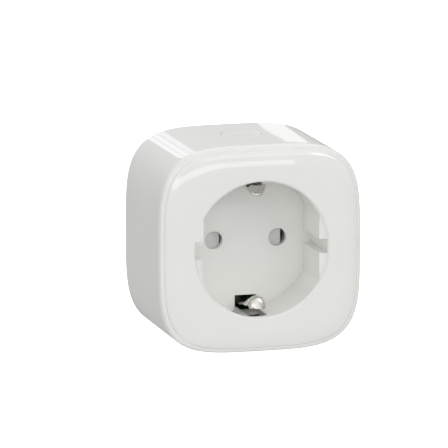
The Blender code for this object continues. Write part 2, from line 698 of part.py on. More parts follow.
def contact_carrier():
    """The tray behind the recess floor: the shutter slides in it, and the contacts sit behind it."""
    channel = SHUTTER_HALF + GAP
    rail = channel + CARRIER_RAIL
    stop = SLIDER_END_X + GAP
    body = box((CARRIER_LEFT_X, SLIDER_Y, -rail), (stop + CARRIER_RAIL, CARRIER_BACK_Y, rail))
    carrier = part("contact_carrier", body, "inner_plastic")
    pocket = box((SPRING_WALL_X, SLIDER_Y - GAP, -channel), (stop, CARRIER_Y, channel))
    cut(carrier, "shutter_channel", pocket)
    for side in (-1, 1):
        faces = (CARRIER_Y - GAP, CARRIER_BACK_Y + GAP)
        hole = drum(PIN_HOLE_RADIUS + GAP, (side * PIN_X, 0), *faces, segments=28)
        cut(carrier, f"carrier_hole_{side}", hole)
    for i, (x, z) in enumerate(corners(*CARRIER_LEG_AT)):
        leg = drum(CARRIER_LEG_RADIUS, (x, z), CARRIER_Y + GAP, PART_Y, segments=14)
        join(carrier, f"carrier_leg_{i}", leg)


def socket_contacts():
    """Spring clips behind the pin holes: two leaves joined on their outer side, with a tail."""
    leaf = PLUG_PIN_RADIUS + GAP + CONTACT_SHEET / 2
    outer = leaf + CONTACT_SHEET / 2
    bend = outer - CONTACT_CORNER
    lip = leaf - CONTACT_CORNER
    stations = ((CONTACT_Y, CONTACT_FLARE), (CONTACT_Y + CONTACT_LEAD, 0.0), (CONTACT_END_Y, 0.0))
    for name, side in (("neutral_contact", -1), ("line_contact", 1)):
        x = side * PIN_X
        rows = []
        for y, flare in stations:
            profile = [
                (x - side * CONTACT_REACH, leaf + flare),
                (x + side * bend, leaf),
                (x + side * outer, lip),
                (x + side * outer, -lip),
                (x + side * bend, -leaf),
                (x - side * CONTACT_REACH, -leaf - flare),
            ]
            rows.append(at_y(profile, y))
        clip = sheet_part(name, rows, CONTACT_SHEET, "brass")
        inner_x = x + side * (outer - CONTACT_SHEET / 2)
        outer_x = x + side * (outer + CONTACT_SHEET / 2)
        tail = box(
            (inner_x, CONTACT_END_Y - CONTACT_LEAD, -CONTACT_TAIL_HALF),
            (outer_x, BOARD_Y + GAP, CONTACT_TAIL_HALF),
        )
        join(clip, name + "_tail", tail)


def earth_strap():
    """The strip that ties the socket's clips to the plug's strips, past whichever are further out."""
    end = max(CLIP_HEIGHT - STRAP_END, EARTH_HEIGHT + STRAP_SHEET)
    low = (-STRAP_HALF, STRAP_Y, -end)
    high = (STRAP_HALF, STRAP_BACK_Y, end)
    bevel(part("earth_strap", box(low, high), "brass"), GAP / 2)


def earth_clips():
    """The socket's two earth clips: a foot on the strap, a stem through the floor and a nose."""
    nose_y = FRONT_Y + CLIP_NOSE_BACK
    path = [
        (CLIP_FOOT_Y, CLIP_HEIGHT - CLIP_FOOT, 0.0015),
        (CLIP_FOOT_Y, CLIP_HEIGHT - CLIP_BEND, 0.0018),
        (CLIP_FOOT_Y - CLIP_BEND, CLIP_HEIGHT, 0.0020),
        (FLOOR_Y - 0.0015, CLIP_HEIGHT, 0.0022),
        (nose_y + 0.0026, CLIP_NOSE_HEIGHT + 0.0008, 0.0021),
        (nose_y + 0.0010, CLIP_NOSE_HEIGHT + 0.0001, 0.0020),
        (nose_y, CLIP_NOSE_HEIGHT + 0.0001, 0.0020),
        (nose_y - 0.0007, CLIP_NOSE_HEIGHT + 0.0007, 0.0020),
        (nose_y - 0.0014, CLIP_NOSE_HEIGHT + 0.0030, 0.0019),
    ]
    for name, side in (("earth_clip_top", 1), ("earth_clip_bottom", -1)):
        rows = [[(-half, y, side * z), (half, y, side * z)] for y, z, half in path]
        sheet_part(name, rows, CLIP_SHEET, "nickel", (0.0, CLIP_FOOT_Y, side * CLIP_HEIGHT))


# ---- electronics ----
def main_board():
    tip = BOARD_CORNER - BOARD_HALF
    outline = [
        (BOARD_HALF, -tip),
        (BOARD_HALF, tip),
        (tip, BOARD_HALF),
        (-tip, BOARD_HALF),
        (-BOARD_HALF, tip),
        (-BOARD_HALF, -tip),
        (-tip, -BOARD_HALF),
        (tip, -BOARD_HALF),
    ]
    board = part("main_board", loft([at_y(outline, BOARD_Y), at_y(outline, BOARD_BACK_Y)]), "board")
    front = BOARD_Y - GAP
    back = BOARD_BACK_Y + GAP
    for side in (-1, 1):
        x = side * PIN_X
        hole = drum(PLUG_PIN_RADIUS + 4 * GAP, (x, 0.0), front, back, segments=28)
        cut(board, f"pin_clearance_{side}", hole)
        around = STRAP_SHEET / 2 + 2 * GAP
        wide = BAR_HALF + 2 * GAP
        slot = box((x - wide, front, BAR_RISE - around), (x + wide, back, BAR_RISE + around))
        cut(board, f"bar_slot_{side}", slot)
        strip = EARTH_STRIP_HALF + 2 * GAP
        low = (-strip, front, side * EARTH_HEIGHT - around)
        high = (strip, back, side * EARTH_HEIGHT + around)
        cut(board, f"strip_slot_{side}", box(low, high))
        tail_x = side * (PIN_X + PLUG_PIN_RADIUS + GAP + CONTACT_SHEET)
        thick = CONTACT_SHEET / 2 + 2 * GAP
        tall = CONTACT_TAIL_HALF + 2 * GAP
        tail = box((tail_x - thick, front, -tall), (tail_x + thick, back, tall))
        cut(board, f"tail_slot_{side}", tail)


def board_components():
    for name, (low, high, height, finish, edge) in BLOCKS.items():
        block = box((low[0], PART_Y - height, low[1]), (high[0], PART_Y, high[1]))
        bevel(part(name, block, finish), edge)
    x, low, high = VARISTOR_AT
    centre_y = PART_Y - VARISTOR_LIFT - VARISTOR_RADIUS
    disc = drum(VARISTOR_RADIUS, (x, centre_y), low, high, "Z", 24)
    bevel(part("varistor", disc, "varistor"), 0.0007, 2)
    can = drum(CAN_RADIUS, CAN_AT, PART_Y - CAN_HEIGHT, PART_Y, segments=28)
    bevel(part("filter_capacitor", can, "can"), 0.0005, 2)
    low, high, z = FUSE_AT
    tube = drum(FUSE_RADIUS, (PART_Y - FUSE_LIFT - FUSE_RADIUS, z), low, high, "X", 16)
    bevel(part("fuse_resistor", tube, "resistor"), 0.0004)


def shunt_bridge():
    """The current-sensing bridge, bent from one strip."""
    left, right, low, high = SHUNT_AT
    foot = PART_Y - SHUNT_LIFT
    top = foot - SHUNT_RISE
    path = [
        (left, foot),
        (left + SHUNT_FOOT, foot),
        (left + SHUNT_FOOT + SHUNT_SLOPE, top),
        (right - SHUNT_FOOT - SHUNT_SLOPE, top),
        (right - SHUNT_FOOT, foot),
        (right, foot),
    ]
    rows = [[(x, y, low), (x, y, high)] for x, y in path]
    sheet_part("shunt_bridge", rows, SHUNT_SHEET, "can")


def power_transformer():
    """A ferrite core with two windows, and a taped coil round its middle leg."""
    low = CORE_LOW_Z
    high = low + CORE_TALL
    middle = (CORE_LEFT + CORE_RIGHT) / 2
    back = PART_Y - CORE_SPAN[0]
    front = PART_Y - CORE_SPAN[1]
    block = box((CORE_LEFT, front, low), (CORE_RIGHT, back, high))
    core = part("transformer_core", block, "ferrite")
    leg = CORE_LEG / 2
    for side in (-1, 1):
        hole = box(
            (middle + side * leg, front - GAP, low + CORE_WALL),
            (middle + side * (leg + CORE_WINDOW), back + GAP, high - CORE_WALL),
        )
        cut(core, f"core_window_{side}", hole)
    half = leg + CORE_WINDOW - 2 * GAP
    coil_low = low + CORE_WALL + GAP
    coil_high = high - CORE_WALL - GAP
    winding = box(
        (middle - half, front - COIL_RISE, coil_low),
        (middle + half, back + COIL_RISE, coil_high),
    )
    coil = part("transformer_coil", winding, "tape")
    tunnel = box(
        (middle - leg - GAP, front - GAP, coil_low - GAP),
        (middle + leg + GAP, back + GAP, coil_high + GAP),
    )
    cut(coil, "coil_tunnel", tunnel)
    bevel(coil, 0.0002)


def radio_board_and_shield():
    """The radio's own board stands between the carrier and the main board, with a can over its chip."""
    x = CARRIER_LEFT_X + RADIO_INSET
    low = (x, CARRIER_BACK_Y + GAP, -RADIO_HALF)
    high = (x + RADIO_SHEET, PART_Y, RADIO_HALF)
    part("radio_board", box(low, high), "board")
    inner = x + RADIO_SHEET + GAP
    front = CARRIER_BACK_Y + 2 * GAP
    back = PART_Y - SHIELD_BACK
    can = box((inner, front, -SHIELD_HALF), (inner + SHIELD_RISE, back, SHIELD_HALF))
    shield = part("radio_shield", can, "can")
    within = SHIELD_HALF - SHIELD_SHEET
    hollow = box(
        (inner - GAP, front + SHIELD_SHEET, -within),
        (inner + SHIELD_RISE - SHIELD_SHEET, back - SHIELD_SHEET, within),
    )
    cut(shield, "shield_hollow", hollow)


# ---- button ----
def button_group():
    """The cap in the top of the housing, the small switch below it, and the switch's own board."""
    body_half = SWITCH_SIZE / 2
    board = box(
        (-SWITCH_BOARD_HALF, BUTTON_Y - SWITCH_BOARD_FRONT, SWITCH_BOARD_Z - SWITCH_BOARD_SHEET),
        (SWITCH_BOARD_HALF, BUTTON_Y + SWITCH_BOARD_REAR, SWITCH_BOARD_Z),
    )
    part("switch_board", board, "board")
    body = box(
        (-body_half, BUTTON_Y - body_half, SWITCH_LOW_Z),
        (body_half, BUTTON_Y + body_half, SWITCH_TOP_Z),
    )
    switch = part("tact_switch", body, "black_plastic")
    span = (SWITCH_LOW_Z + SWITCH_FLOOR, SWITCH_TOP_Z + GAP)
    well = drum(PLUNGER_RADIUS + GAP, (0.0, BUTTON_Y), *span, "Z", 20)
    cut(switch, "plunger_well", well)
    bevel(switch, 0.0003)
    plunger_origin = (0.0, BUTTON_Y, PLUNGER_LOW_Z)
    plunger = drum(PLUNGER_RADIUS, (0.0, BUTTON_Y), PLUNGER_LOW_Z, PLUNGER_TOP_Z, "Z", 20)
    bevel(part("switch_plunger", plunger, "black_plastic", plunger_origin), 0.0002)
    cap_radius = BUTTON_RADIUS - BUTTON_SEAM
    rim = cap_radius + BUTTON_FLANGE_OVER
    heights = (BUTTON_TOP_Z - STEM_Z, FLANGE_TOP_Z - STEM_Z, FLANGE_LOW_Z - STEM_Z)
    profile = [
        (0.0, heights[0]),
        (cap_radius - BUTTON_EDGE, heights[0]),
        (cap_radius, heights[0] - BUTTON_EDGE),
        (cap_radius, heights[1]),
        (rim, heights[1]),
        (rim, heights[2]),
        (BUTTON_STEM_RADIUS, heights[2]),
        (BUTTON_STEM_RADIUS, 0.0),
        (0.0, 0.0),
    ]
    smooth(turned("button_cap", profile, "shell", (0.0, BUTTON_Y, STEM_Z), segments=48, axis="Z"))
    lamp_low = SWITCH_BOARD_Z + GAP
    lamp = box(
        (LAMP_SIDE - LAMP_SIZE / 2, BUTTON_Y - LAMP_SIZE / 2, lamp_low),
        (LAMP_SIDE + LAMP_SIZE / 2, BUTTON_Y + LAMP_SIZE / 2, lamp_low + LAMP_RISE),
    )
    part("status_lamp", lamp, "lamp")


clear_scene()
PARTS = new_collection("plug_in_power_meter")
CUTTERS = new_collection("cutters")

front_cover()
body_shell()
case_screws()
plug_boss()
plug_pins()
pin_bars()
rear_earth_strips()
shutter()
shutter_return_spring()
contact_carrier()
socket_contacts()
earth_strap()
earth_clips()
main_board()
board_components()
shunt_bridge()
power_transformer()
radio_board_and_shield()
button_group()
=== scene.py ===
"""Looks of the plug-in power meter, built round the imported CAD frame.

The outer pieces, the shutter and its spring are rebuilt here in finer mesh and stand for their CAD
nodes. The other pieces stay as the CAD has them and get their own materials. Most pieces are
modelled face up, with the socket looking along local +Z, and are then tipped into the shared
frame, where it looks along -Y. Their height is then a distance in front of the plug boss's end
face.
"""

import json
import math

import bmesh
import bpy
from mathutils import Matrix, Vector


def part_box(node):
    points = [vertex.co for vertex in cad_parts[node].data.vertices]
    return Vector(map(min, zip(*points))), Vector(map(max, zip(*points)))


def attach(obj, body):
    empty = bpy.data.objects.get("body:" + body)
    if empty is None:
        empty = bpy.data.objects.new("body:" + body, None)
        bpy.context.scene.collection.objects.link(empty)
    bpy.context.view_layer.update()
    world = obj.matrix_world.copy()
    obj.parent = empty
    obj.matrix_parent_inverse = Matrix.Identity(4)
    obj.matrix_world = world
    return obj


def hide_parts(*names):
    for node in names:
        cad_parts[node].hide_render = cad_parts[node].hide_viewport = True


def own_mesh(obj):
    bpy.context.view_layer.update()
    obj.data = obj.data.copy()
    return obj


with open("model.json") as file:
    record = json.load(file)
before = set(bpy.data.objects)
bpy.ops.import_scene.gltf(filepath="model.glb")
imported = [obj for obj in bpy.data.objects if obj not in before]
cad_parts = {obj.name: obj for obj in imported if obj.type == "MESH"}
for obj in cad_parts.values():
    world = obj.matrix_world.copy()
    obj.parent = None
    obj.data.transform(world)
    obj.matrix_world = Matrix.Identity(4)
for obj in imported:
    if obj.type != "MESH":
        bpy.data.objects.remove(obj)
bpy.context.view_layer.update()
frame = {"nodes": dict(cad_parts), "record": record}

MM = 0.001
UPRIGHT = Matrix.Rotation(math.pi / 2, 4, "X")  # from face up to the shared frame
GAP = 0.3 * MM  # the seam, and how far a cutter reaches past what it cuts

# ---- sizes taken from the CAD nodes ----
shell_low, shell_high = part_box("body_shell")
FRONT = -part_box("front_cover")[0].y
HALF = shell_high.x
REAR = -shell_high.y
SEAM = -shell_low.y + GAP
POLES = ("neutral", "line")
PINS = [sum(corner.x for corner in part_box(f"plug_pin_{pole}")) / 2 for pole in POLES]

# ---- housing ----
OUTLINE_POWER = 4.05
OUTLINE_SEGMENTS = 240
WALL = 2.0 * MM
SKIRT = 3.5 * MM
SKIRT_WALL = 1.4 * MM
REAR_TAPER = 0.25 * MM
REAR_ROUND = 0.8 * MM
# Inset from the outline and reach in front of the seam, in mm, along the cover's rounded edge. A
# narrow step runs all round it, about 1 mm in.
COVER_EDGE = [
    (0.15, 0.0),
    (0.0, 0.15),
    (0.2, 0.8),
    (0.5, 1.2),
    (0.8, 1.36),
    (1.2, 1.4),
    (1.38, 1.52),
    (1.52, 1.85),
    (1.8, 2.05),
    (2.4, 2.26),
    (3.5, 2.55),
    (5.2, 2.8),
    (6.7, 2.9),
]
# The places of the screws, then the radii of posts and holes and the depths of the screw holes.
SCREW_AT = (-20.496 * MM, 20.496 * MM)
SCREW_PLACES = [(x, y) for x in SCREW_AT for y in SCREW_AT]
POST_RADIUS = 3.2 * MM
POST_BORE_DEPTH = 22 * MM
SCREW_BORE = 1.6 * MM
SCREW_HEAD_HOLE = 2.8 * MM
SCREW_HEAD_DEPTH = 1.4 * MM
BOSS_OPENING = 19.6 * MM
BUTTON_HOLE = 5.92 * MM

# ---- socket recess ----
RECESS_RADIUS = 20.05 * MM
RECESS_DEPTH = 17.5 * MM
FLOOR = FRONT - RECESS_DEPTH
FLOOR_WALL = 1.8 * MM
TUBE_WALL = 1.55 * MM
FLAT_X = 17.4 * MM
LEDGE = 1.4 * MM
BLOCK_LOW = 3.4 * MM
GUIDE_HALF = 2.1 * MM
LIP = 0.3 * MM
PIN_HOLE = 2.65 * MM
EARTH_SLOT_HALF = 3.2 * MM
EARTH_SLOT_INNER = 16.4 * MM
EARTH_SLOT_OUTER = RECESS_RADIUS + 0.95 * MM
# The pocket in the wall for a clip's nose, and the opening through the wall behind it.
POCKET_HALF = 2.7 * MM
POCKET_FRONT = 4.0 * MM
OPENING_FRONT = 7.8 * MM
OPENING_BACK = 13.2 * MM

# ---- plug boss: radii and distances from its middle, and heights from its end face ----
BOSS_RADIUS = 19.3 * MM
BOSS_FLANGE = 21.0 * MM
BOSS_FLANGE_THICKNESS = 0.9 * MM
BOSS_HOLLOW = 14.6 * MM
BOSS_END_WALL = 3.0 * MM
PIN_SLEEVE = 3.8 * MM
PIN_SLEEVE_TOP = 12.0 * MM
PIN_BORE = 2.7 * MM
PIN_FLANGE_SEAT = 12.3 * MM
BOSS_CUT_OUTER = 19.6 * MM
BOSS_CUT_TOP = 17.7 * MM
BOSS_FLAT = 17.1 * MM
BOSS_GROOVE = 15.6 * MM
BOSS_GROOVE_HALF = 2.7 * MM
STRIP_CHANNEL = 16.5 * MM
STRIP_CHANNEL_HALF = 3.2 * MM
STRIP_CHANNEL_TOP = 17.0 * MM
STRIP_SLOT_OUTER = 18.2 * MM
STRIP_SLOT_HALF = 2.2 * MM
STRIP_SLOT_LOW = 16.0 * MM


# ---- nodes and finishes ----
def colour(code):
    """A linear colour from an sRGB hex code."""
    parts = [int(code[i : i + 2], 16) / 255 for i in (1, 3, 5)]
    linear = [p / 12.92 if p <= 0.04045 else ((p + 0.055) / 1.055) ** 2.4 for p in parts]
    return (*linear, 1.0)


def add_node(tree, kind, inputs=(), **settings):
    """Adds a node with its settings, its values and its links."""
    made = tree.nodes.new(kind)
    for name, value in settings.items():
        setattr(made, name, value)
    for name, value in dict(inputs).items():
        if isinstance(value, bpy.types.NodeSocket):
            tree.links.new(value, made.inputs[name])
        else:
            made.inputs[name].default_value = value
    return made


def finish(name, light, dark, gloss, grain, relief, stretch=(1, 1, 1), detail=3.0, **shader):
    """A finish with a slight cloud in its colour and gloss, and a relief of the given height.

    gloss gives the lowest and highest roughness, grain the size of the pattern in metres.
    """
    material = bpy.data.materials.new(name)
    material.use_nodes = True
    tree = material.node_tree
    surface = tree.nodes["Principled BSDF"]
    for socket, value in shader.items():
        surface.inputs[socket.replace("_", " ")].default_value = value
    place = add_node(tree, "ShaderNodeTexCoord")
    spread = add_node(
        tree, "ShaderNodeMapping", {"Vector": place.outputs["Object"], "Scale": stretch}
    )
    pattern = add_node(
        tree,
        "ShaderNodeTexNoise",
        {"Vector": spread.outputs["Vector"], "Scale": 1 / grain, "Detail": detail},
    )
    tint = add_node(tree, "ShaderNodeValToRGB", {"Fac": pattern.outputs["Fac"]})
    tint.color_ramp.elements[0].position = 0.3
    tint.color_ramp.elements[0].color = colour(dark)
    tint.color_ramp.elements[1].position = 0.7
    tint.color_ramp.elements[1].color = colour(light)
    sheen = add_node(
        tree,
        "ShaderNodeMapRange",
        {
            "Value": pattern.outputs["Fac"],
            "From Min": 0.3,
            "From Max": 0.7,
            "To Min": gloss[0],
            "To Max": gloss[1],
        },
    )
    bump = add_node(
        tree, "ShaderNodeBump", {"Height": pattern.outputs["Fac"], "Distance": relief}
    )
    tree.links.new(tint.outputs["Color"], surface.inputs["Base Color"])
    tree.links.new(sheen.outputs["Result"], surface.inputs["Roughness"])
    tree.links.new(bump.outputs["Normal"], surface.inputs["Normal"])
    return material


# Grit, clouds and rolled lines are drawn at 0.2 mm to 2 mm. The real grit and lines are finer than
# that, too fine to show, so they are drawn this coarse.
FINISHES = {
    # ABS moulded against a polished tool: a hard mirror-like gloss with the faintest waviness.
    "white_gloss_plastic": finish(
        "polished_white_abs", "#F7F7F4", "#F5F5F2", (0.02, 0.035), 12 * MM, 0.002 * MM, IOR=1.54
    ),
    # ABS moulded against a spark-eroded tool: the fine even grain takes the gloss off.
    "white_matt_plastic": finish(
        "eroded_white_abs", "#E6E6E2", "#DEDEDA", (0.38, 0.5), 0.35 * MM, 0.01 * MM, IOR=1.54
    ),
    # Glass-filled polyamide: a dry surface with slight flow marks.
    "carrier_plastic": finish(
        "filled_polyamide", "#CFCFCA", "#C2C2BC", (0.42, 0.55), 1.2 * MM, 0.01 * MM, IOR=1.53
    ),
    # Acetal: waxy and smooth, with a half gloss.
    "shutter_plastic": finish(
        "grey_acetal", "#E3E4E2", "#DADCDA", (0.28, 0.38), 1.0 * MM, 0.005 * MM, IOR=1.48
    ),
    # Drawn spring wire: bright steel, a little cloudy.
    "spring_steel": finish(
        "drawn_spring_wire", "#B9B8B4", "#8E8D89", (0.22, 0.36), 0.2 * MM, 0.002 * MM, Metallic=1.0
    ),
    # Zinc plating on steel: a cool grey with a faint bluish cloud.
    "screw_steel": finish(
        "zinc_plate", "#B7BBC0", "#9DA1A6", (0.25, 0.4), 0.8 * MM, 0.004 * MM, Metallic=1.0
    ),
    # Nickel on brass: warm grey, bright, with rubbed lines along the strip.
    "nickel_plate": finish(
        "nickel_plate",
        "#DCDAD5",
        "#CECBC6",
        (0.24, 0.36),
        0.5 * MM,
        0.003 * MM,
        stretch=(3, 1, 3),
        Metallic=1.0,
    ),
    # Stamped sheet brass: rolled lines and a slight tarnish.
    "brass": finish(
        "stamped_brass",
        "#D9B46A",
        "#B98F45",
        (0.24, 0.4),
        0.8 * MM,
        0.004 * MM,
        stretch=(3, 1, 1),
        Metallic=1.0,
    ),
    # Solder mask on glass epoxy: deep green, glossy and slightly uneven.
    "circuit_board": finish(
        "solder_mask", "#1F6B3A", "#15522B", (0.25, 0.4), 0.6 * MM, 0.01 * MM, IOR=1.5
    ),
    # Polybutylene relay cover: orange, half gloss.
    "relay_plastic": finish(
        "orange_relay_cover", "#E39A2C", "#D98C1F", (0.3, 0.42), 1.5 * MM, 0.01 * MM, IOR=1.55
    ),
    # Filled box of a film capacitor: yellow-brown and matt.
    "film_box_plastic": finish(
        "capacitor_box", "#CDB557", "#BFA648", (0.45, 0.6), 0.8 * MM, 0.01 * MM, IOR=1.5
    ),
    # Dipped epoxy coat: blue, slightly uneven.
    "varistor_coat": finish(
        "blue_epoxy_dip", "#2E64A8", "#234F8C", (0.3, 0.45), 1.5 * MM, 0.03 * MM, IOR=1.55
    ),
    # Lacquer coat of a wire-wound resistor: green and matt, with a slight grain.
    "resistor_coat": finish(
        "green_lacquer", "#5A9A72", "#4B8762", (0.5, 0.65), 0.5 * MM, 0.02 * MM, IOR=1.5
    ),
    # Moulded epoxy of chips and switches: nearly black, with a fine matt grain.
    "black_plastic": finish(
        "black_epoxy", "#2A2A2C", "#202022", (0.4, 0.55), 0.3 * MM, 0.008 * MM, IOR=1.55
    ),
    # Drawn aluminium can: satin, with lines round it.
    "aluminium_can": finish(
        "drawn_aluminium",
        "#C4C6C9",
        "#ADAFB2",
        (0.25, 0.4),
        0.4 * MM,
        0.004 * MM,
        stretch=(1, 4, 1),
        Metallic=1.0,
    ),
    # Resistance alloy strip: dull warm grey.
    "shunt_alloy": finish(
        "resistance_alloy", "#B3AAA0", "#9A9188", (0.35, 0.5), 0.5 * MM, 0.004 * MM, Metallic=1.0
    ),
    # Pressed and fired ferrite: nearly black, with a gritty face.
    "ferrite": finish(
        "fired_ferrite", "#3B3B3B", "#2C2C2C", (0.6, 0.75), 0.25 * MM, 0.02 * MM, IOR=1.6
    ),
    # Polyester tape over the winding: yellow, with a soft gloss.
    "coil_tape": finish(
        "polyester_tape", "#E0C33A", "#D3B42C", (0.25, 0.4), 2.0 * MM, 0.02 * MM, IOR=1.6
    ),
    # Moulded lens: pale green and glossy.
    "lamp_lens": finish(
        "tinted_lens", "#DDEEDF", "#D0E6D4", (0.1, 0.2), 1.0 * MM, 0.005 * MM, IOR=1.58
    ),
}


# ---- modelling steps ----
def circle(bm, radius, height, segments):
    """A ring of edges about local Z."""
    made = bmesh.ops.create_circle(
        bm, segments=segments, radius=radius, matrix=Matrix.Translation((0, 0, height))
    )
    return made["verts"]


def rounded_square(bm, half, height):
    """A ring on the housing's outline, a square whose sides bulge and whose corners are wide."""
    ring = circle(bm, 1.0, height, OUTLINE_SEGMENTS)
    for vert in ring:
        x, y = vert.co.xy
        reach = half * (abs(x) ** OUTLINE_POWER + abs(y) ** OUTLINE_POWER) ** (-1 / OUTLINE_POWER)
        vert.co.xy = (x * reach, y * reach)
    return ring


def extruded(bm, edges):
    """Extrudes the edges, and gives the new vertices and the new edges between them."""
    grown = bmesh.ops.extrude_edge_only(bm, edges=edges)["geom"]
    verts = [g for g in grown if isinstance(g, bmesh.types.BMVert)]
    new = set(verts)
    edges = [g for g in grown if isinstance(g, bmesh.types.BMEdge) and new.issuperset(g.verts)]
    return verts, edges


def swept(outline, stations):
    """A closed skin that carries an outline through stations of (half width, height)."""
    bm = bmesh.new()
    half, height = stations[0]
    outline(bm, half, height)
    edges = bm.edges[:]
    bmesh.ops.contextual_create(bm, geom=edges)
    for next_half, next_height in stations[1:]:
        verts, edges = extruded(bm, edges)
        share = next_half / half
        bmesh.ops.scale(bm, vec=(share, share, 1), verts=verts)
        bmesh.ops.translate(bm, vec=(0, 0, next_height - height), verts=verts)
        half, height = next_half, next_height
    bmesh.ops.contextual_create(bm, geom=edges)
    bmesh.ops.recalc_face_normals(bm, faces=bm.faces)
    return bm


def turned(stations, segments):
    """A solid turned about local Z from stations of (radius, height)."""
    return swept(lambda bm, radius, height: circle(bm, radius, height, segments), stations)


def drum(radius, low, high, at=(0, 0), segments=64):
    """A cylinder along local Z."""
    bm = bmesh.new()
    middle = Matrix.Translation((*at, (low + high) / 2))
    bmesh.ops.create_cone(
        bm,
        cap_ends=True,
        segments=segments,
        radius1=radius,
        radius2=radius,
        depth=high - low,
        matrix=middle,
    )
    return bm


def block(low, high, edge=0.0):
    """A box between two corners, with its edges rounded if an edge is given."""
    low, high = Vector(low), Vector(high)
    size = high - low
    bm = bmesh.new()
    bmesh.ops.create_cube(
        bm, size=1.0, matrix=Matrix.Translation((low + high) / 2) @ Matrix.Diagonal((*size, 1))
    )
    return rounded(bm, edge) if edge else bm


def rounded(bm, edge, chosen=None, segments=3):
    """Rounds the chosen edges, or all edges that turn by more than 40 degrees."""
    if chosen is None:
        least = math.radians(40)
        chosen = [e for e in bm.edges if e.is_manifold and e.calc_face_angle() > least]
    bmesh.ops.bevel(
        bm,
        geom=chosen,
        offset=edge,
        segments=segments,
        profile=0.5,
        affect="EDGES",
        clamp_overlap=True,
        material=-1,
    )
    return bm


def loose_object(bm, name="shape"):
    """Makes the shape an object in the scene."""
    mesh = bpy.data.meshes.new(name)
    bm.to_mesh(mesh)
    bm.free()
    obj = bpy.data.objects.new(name, mesh)
    bpy.context.scene.collection.objects.link(obj)
    return obj


def carved(bm, tools, operation="DIFFERENCE"):
    """The shape with each tool taken away from it, unless another operation is named."""
    target = loose_object(bm)
    made = [loose_object(tool, "tool") for tool in tools]
    for tool in made:
        modifier = target.modifiers.new("carve", "BOOLEAN")
        modifier.operation = operation
        modifier.solver = "EXACT"
        modifier.object = tool
    graph = bpy.context.evaluated_depsgraph_get()
    result = bmesh.new()
    result.from_mesh(target.evaluated_get(graph).to_mesh())
    for obj in [target, *made]:
        bpy.data.objects.remove(obj)
    bmesh.ops.remove_doubles(result, verts=result.verts, dist=0.5e-6)
    return result


def joined(bm, tools):
    """The shape with each tool added to it."""
    return carved(bm, tools, "UNION")


def near(value, target, within=0.02 * MM):
    """Whether two sizes are as good as equal."""
    return abs(value - target) < within


def piece(name, bm, slot, body, *nodes, place=UPRIGHT, smooth=35):
    """Turns the shape into the shared frame and makes it a piece that stands for its CAD nodes."""
    bmesh.ops.transform(bm, matrix=place, verts=bm.verts)
    bmesh.ops.recalc_face_normals(bm, faces=bm.faces)
    obj = loose_object(bm, name)
    obj.data.materials.append(FINISHES[slot])
    obj.data.shade_smooth()
    obj.data.set_sharp_from_angle(angle=math.radians(smooth))
    weighted = obj.modifiers.new("even_shading", "WEIGHTED_NORMAL")
    weighted.keep_sharp = True
    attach(obj, body)
    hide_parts(*nodes)
    return obj


def eased(points, steps=4):
    """The same line with more points, passing smoothly through the given ones."""
    path = [Vector(p) for p in points]
    ends = [path[0] * 2 - path[1]] + path + [path[-1] * 2 - path[-2]]
    out = [path[0]]
    for a, b, c, d in zip(ends, ends[1:], ends[2:], ends[3:]):
        for i in range(1, steps + 1):
            t = i / steps
            slope = (c - a) * t
            bend = (2 * a - 5 * b + 4 * c - d) * t**2
            twist = (3 * b - a - 3 * c + d) * t**3
            out.append(0.5 * (2 * b + slope + bend + twist))
    return out


# ---- front cover with the socket recess ----
def recess_mouth():
    """The cutter for the round mouth, a soft S from the ledge to the rim.

    It leaves the cover solid in front of the upper part of one flat.
    """
    profile = [(18.4, 1.4), (18.75, 1.36), (19.1, 1.24), (19.4, 1.03), (19.62, 0.8), (19.8, 0.55)]
    profile += [(19.93, 0.36), (20.06, 0.2), (20.18, 0.08), (20.32, 0.0), (20.32, -2.0)]
    stations = [(radius * MM, FRONT - depth * MM) for radius, depth in profile]
    mouth = turned(stations, 200)
    solid = block(
        (-RECESS_RADIUS - WALL, BLOCK_LOW, FRONT - 2 * LEDGE),
        (-FLAT_X, RECESS_RADIUS, FRONT + 2 * WALL),
    )
    return carved(mouth, [solid])


def trimmed(bm, across, reach):
    """Cuts the shape off at the same distance on both sides of the middle."""
    for side in (-1, 1):
        out = side * Vector(across)
        bmesh.ops.bisect_plane(
            bm,
            geom=bm.verts[:] + bm.edges[:] + bm.faces[:],
            plane_co=out * reach,
            plane_no=out,
            clear_outer=True,
        )
        bmesh.ops.holes_fill(bm, edges=bm.edges[:])
    bmesh.ops.recalc_face_normals(bm, faces=bm.faces)
    return bm


def recess_well():
    """The cutters behind the ledge: the well with its two flats, and a groove through both."""
    radius = RECESS_RADIUS - 0.04 * MM
    high = FRONT - LEDGE / 2
    well = drum(radius, FLOOR, high, segments=200)
    groove = drum(radius - 0.02 * MM, FLOOR, high, segments=200)
    return trimmed(well, (1, 0, 0), FLAT_X), trimmed(groove, (0, 1, 0), GUIDE_HALF)


def cover_blank(back):
    """The cover before the recess is cut: face, skirt, recess wall and screw posts."""
    inner = HALF - WALL - GAP
    edge = [(HALF - p.x * MM, SEAM + p.y * MM) for p in eased([(*p, 0) for p in COVER_EDGE])]
    stations = [
        (inner - SKIRT_WALL, FRONT - WALL),
        (inner - SKIRT_WALL, SEAM - SKIRT),
        (inner, SEAM - SKIRT),
        (inner, SEAM),
    ]
    face = swept(rounded_square, stations + edge)
    top = FRONT - WALL + WALL / 4
    extra = [drum(RECESS_RADIUS + TUBE_WALL, back, top, segments=128)]
    extra += [drum(POST_RADIUS, REAR + WALL + GAP, top, place, 32) for place in SCREW_PLACES]
    return joined(face, extra)


